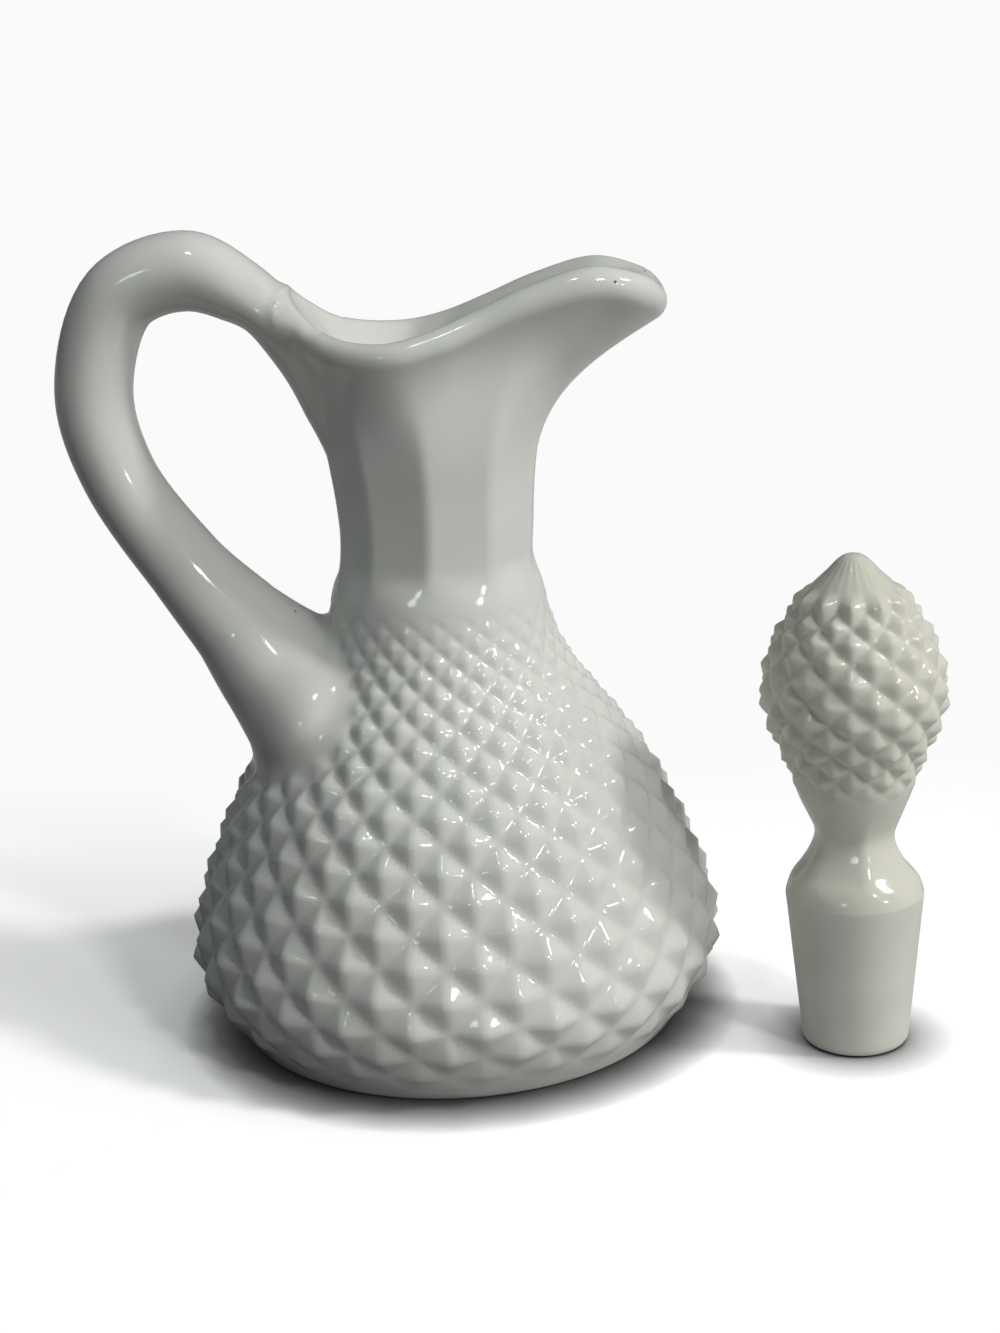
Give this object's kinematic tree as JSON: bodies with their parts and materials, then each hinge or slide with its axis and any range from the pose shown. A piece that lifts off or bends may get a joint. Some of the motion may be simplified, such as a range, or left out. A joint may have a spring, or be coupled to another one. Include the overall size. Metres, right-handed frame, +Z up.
{
  "type": "stoppered cruet",
  "caption": "Pressed milk-glass oil cruet with a diamond-point belly, panelled neck, pinched pouring lip and loop handle, with its ground stopper standing beside it.",
  "frame": {"origin": "centre of the cruet's flat underside, on its axis", "axes": "+Z up along the cruet's axis, +X towards the pouring lip, handle towards -X"},
  "size_m": [0.1352, 0.0865, 0.1278],
  "materials": {
    "milk_glass": "opaque milk glass, fire-polished and glossy",
    "ivory_milk_glass": "opaque milk glass, glossy above and ground matt on the plug"
  },
  "bodies": {
    "cruet": {"cruet": "milk_glass"},
    "stopper": {"stopper": "ivory_milk_glass"}
  },
  "joints": [
    {"name": "stopper_lift", "type": "slide", "parent": "cruet", "child": "stopper", "axis": [0, 0, 1], "range_m": [0, 0.135]}
  ]
}
